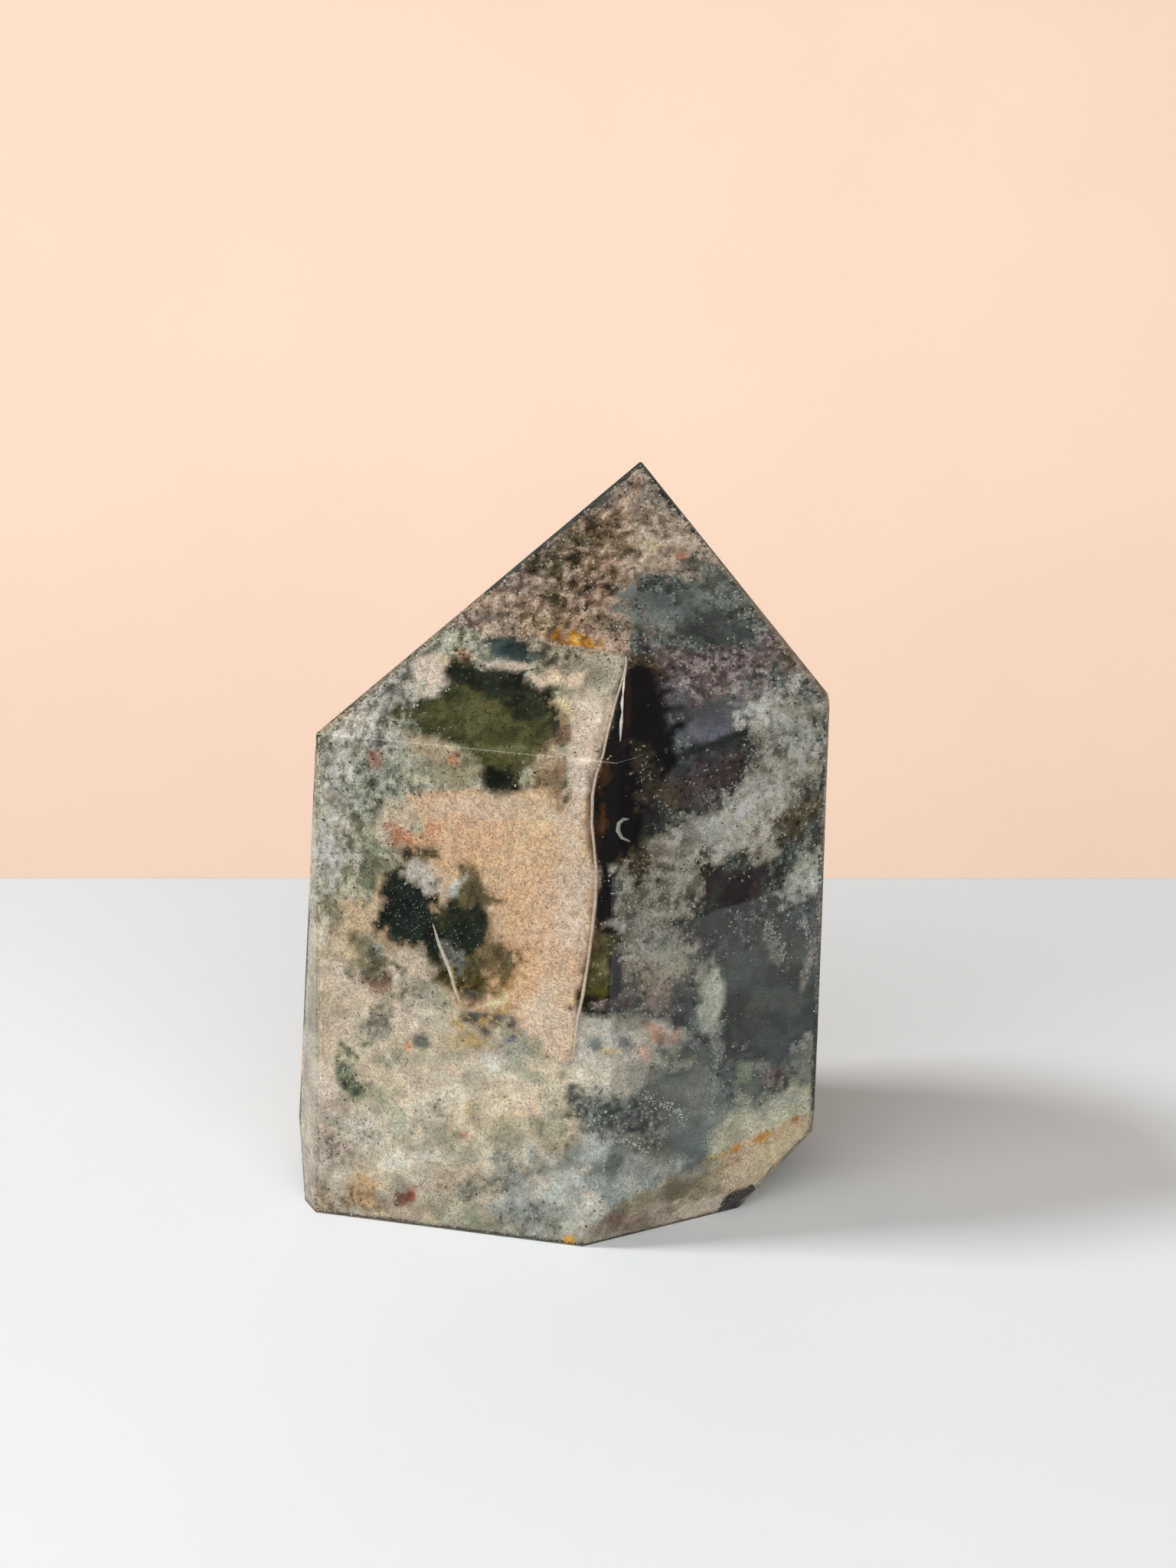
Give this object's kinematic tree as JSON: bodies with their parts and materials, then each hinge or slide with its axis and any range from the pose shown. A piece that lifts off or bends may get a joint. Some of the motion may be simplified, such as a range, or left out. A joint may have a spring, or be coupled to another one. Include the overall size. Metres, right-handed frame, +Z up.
{
  "type": "garden quartz tower",
  "caption": "Upright polished point of clear quartz with sandy, mossy and cloudy inclusions, ground to flat faces and standing on its flat sawn foot.",
  "frame": {"origin": "centre of the outline at the flat foot, on the surface that it stands on", "axes": "+Z up along the tower to its tip, -Y towards the front edge, +X to the right seen from the front"},
  "size_m": [0.0378, 0.031, 0.053],
  "materials": {
    "clear_quartz": "polished",
    "sandy_inclusion": "matte",
    "mossy_inclusion": "matte",
    "cloudy_inclusion": "satin",
    "rusty_inclusion": "matte"
  },
  "bodies": {
    "root": {"quartz_tower": "clear_quartz"}
  },
  "joints": []
}
